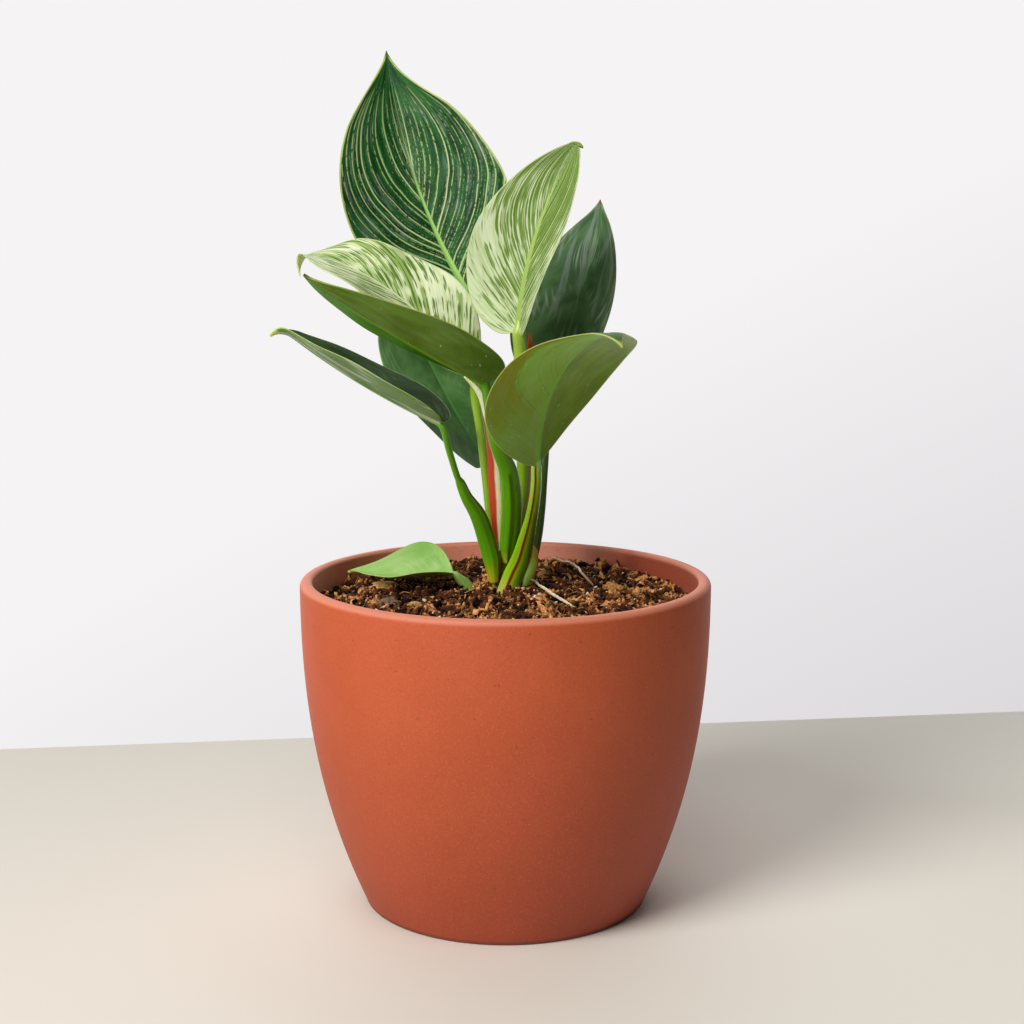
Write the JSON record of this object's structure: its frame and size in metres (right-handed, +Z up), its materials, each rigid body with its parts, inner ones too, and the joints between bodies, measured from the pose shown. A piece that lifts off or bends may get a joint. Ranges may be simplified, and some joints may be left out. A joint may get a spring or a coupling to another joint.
{
  "type": "potted philodendron birkin",
  "caption": "Young cream-striped philodendron with upright leaves on sheathed stalks, in a plain flared clay pot filled with bark-rich potting mix.",
  "frame": {"origin": "centre of the pot's flat underside, on the surface that the pot stands on", "axes": "+Z up along the pot's axis, -Y towards the front of the plant, +X to its right"},
  "size_m": [0.1774, 0.1747, 0.3439],
  "materials": {
    "pot": "matte",
    "potting_mix": "matte",
    "crown": "matte",
    "dark_leaf": "satin",
    "cream_leaf": "satin",
    "olive_leaf": "satin",
    "pale_leaf": "satin",
    "stalk": "satin",
    "pale_stalk": "satin",
    "dark_stalk": "satin",
    "sheath": "satin",
    "red_sheath": "satin",
    "root": "matte",
    "bark": "matte",
    "pebble": "matte"
  },
  "bodies": {
    "root": {"pot": "pot", "potting_mix": "potting_mix", "crown": "crown", "blade_tall_back": "dark_leaf", "blade_variegated_right": "cream_leaf", "blade_variegated_left": "cream_leaf", "blade_left_upper": "olive_leaf", "blade_left_lower": "dark_leaf", "blade_front_right": "olive_leaf", "blade_back_left": "dark_leaf", "blade_back_right": "dark_leaf", "blade_small_low": "pale_leaf", "stalk_tall_back": "stalk", "stalk_variegated_right": "pale_stalk", "stalk_variegated_left": "stalk", "stalk_left_upper": "stalk", "stalk_left_lower": "stalk", "stalk_front_right": "stalk", "stalk_back_left": "dark_stalk", "stalk_back_right": "dark_stalk", "stalk_small_low": "pale_leaf", "sheath_cream": "sheath", "sheath_red": "red_sheath", "sheath_dry": "red_sheath", "root_front": "root", "root_back": "root", "bark_chip_left": "bark", "bark_chip_front": "bark", "bark_chip_right": "bark", "pebble": "pebble"}
  },
  "joints": []
}
